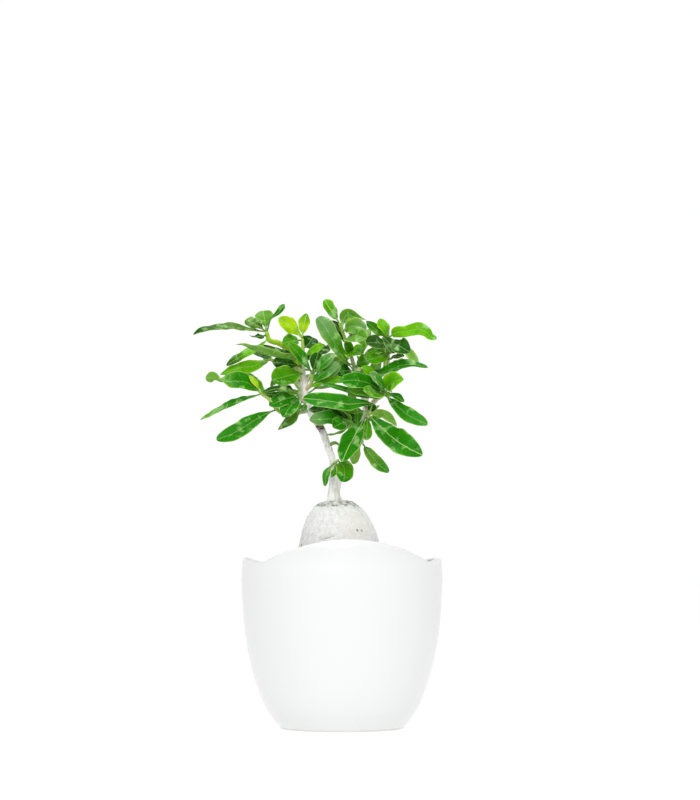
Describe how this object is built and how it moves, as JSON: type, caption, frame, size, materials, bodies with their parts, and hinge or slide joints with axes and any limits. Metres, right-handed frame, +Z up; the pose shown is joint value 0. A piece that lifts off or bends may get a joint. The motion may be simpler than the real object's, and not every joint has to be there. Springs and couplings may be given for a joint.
{
  "type": "fockea edulis bonsai in a pot",
  "caption": "Small Fockea edulis bonsai: a swollen tuber with a slim woody trunk and glossy leaves, in a white ceramic pot with a scalloped rim, to stand on a shelf or table.",
  "frame": {"origin": "middle of the pot's flat base, on the surface that it stands on", "axes": "+Z up, +X to the right and -Y to the front, as the picture shows the plant"},
  "size_m": [0.1373, 0.1108, 0.2353],
  "materials": {
    "glazed_ceramic": "gloss",
    "potting_soil": "matte",
    "tuber_bark": "matte",
    "trunk_bark": "matte",
    "leaf": "satin"
  },
  "bodies": {
    "root": {"pot": "glazed_ceramic", "soil": "potting_soil", "caudex": "tuber_bark", "trunk": "trunk_bark", "shoot_upper_left": "leaf", "shoot_left_upper": "leaf", "shoot_left": "leaf", "shoot_centre_left": "leaf", "shoot_left_middle": "leaf", "shoot_middle": "leaf", "shoot_centre_low": "leaf", "shoot_front_right": "leaf", "shoot_front_right_low": "leaf", "shoot_right": "leaf", "shoot_upper_right": "leaf", "shoot_top": "leaf", "shoot_low": "leaf", "shoot_back_left": "leaf", "shoot_back_right": "leaf", "shoot_back_top": "leaf", "shoot_back_upper": "leaf", "shoot_back_low": "leaf", "shoot_side_left": "leaf", "shoot_side_right": "leaf"}
  },
  "joints": []
}
